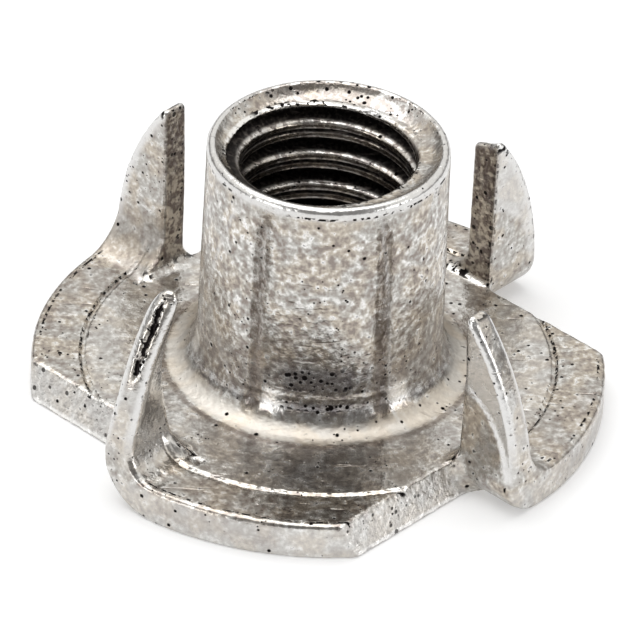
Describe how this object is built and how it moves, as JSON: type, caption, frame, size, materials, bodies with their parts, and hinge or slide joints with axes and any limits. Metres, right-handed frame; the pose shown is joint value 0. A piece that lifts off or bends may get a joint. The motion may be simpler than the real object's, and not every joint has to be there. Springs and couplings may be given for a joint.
{
  "type": "tee nut",
  "caption": "Pronged tee nut of stamped steel: a round flange with folded prongs and a drawn, internally threaded barrel, for putting a machine thread into wood.",
  "frame": {"origin": "on the axis of the bore, at the flat underside of the flange", "axes": "+Z runs along the bore from the underside of the flange to the rim of the barrel, the way the barrel and prongs point; X and Y are square to it, with the slits square to the lines at 48, 138, 228 and 318 degrees from +X"},
  "size_m": [0.0222, 0.0222, 0.0113],
  "materials": {
    "steel": "tumbled plain steel, satin, with scuffs, pits and darker sheared edges"
  },
  "bodies": {
    "root": {"tee_nut": "steel"}
  },
  "joints": []
}
